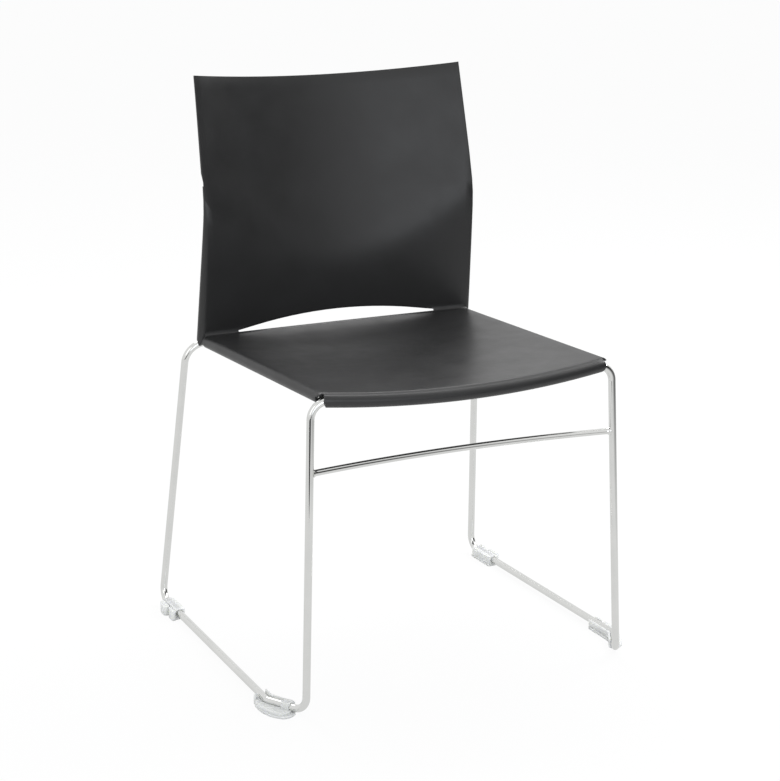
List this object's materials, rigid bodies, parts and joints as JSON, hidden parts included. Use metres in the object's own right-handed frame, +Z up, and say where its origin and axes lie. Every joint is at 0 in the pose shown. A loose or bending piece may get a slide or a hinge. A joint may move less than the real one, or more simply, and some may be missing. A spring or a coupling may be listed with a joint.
{
  "type": "choir chair",
  "caption": "Stackable choir chair: one-piece dark moulded seat and back with a hand slot, on a slim bent chromed rod sled frame with linking feet.",
  "frame": {"origin": "on the floor, midway between the feet", "axes": "+Z up; the chair faces -Y; +X is to the right as seen from the front"},
  "size_m": [0.6192, 0.5254, 0.842],
  "materials": {
    "shell": "fine satin grain",
    "frame": "polished chrome plate",
    "feet": "natural nylon, slightly translucent",
    "screws": "zinc plated"
  },
  "bodies": {
    "root": {"shell": "shell", "sled_rod_left": "frame", "sled_rod_right": "frame", "front_cross_rod": "frame", "rear_cross_rod": "frame", "rail_rod_left": "frame", "rail_rod_right": "frame", "front_stretcher": "frame", "tab_front_left": "frame", "tab_front_right": "frame", "tab_rear_left": "frame", "tab_rear_right": "frame", "shell_screws": "screws", "upright_cap_left": "feet", "upright_cap_right": "feet", "foot_front_left": "feet", "foot_front_right": "feet", "foot_rear_left": "feet", "foot_rear_right": "feet", "foot_screws": "screws"}
  },
  "joints": []
}
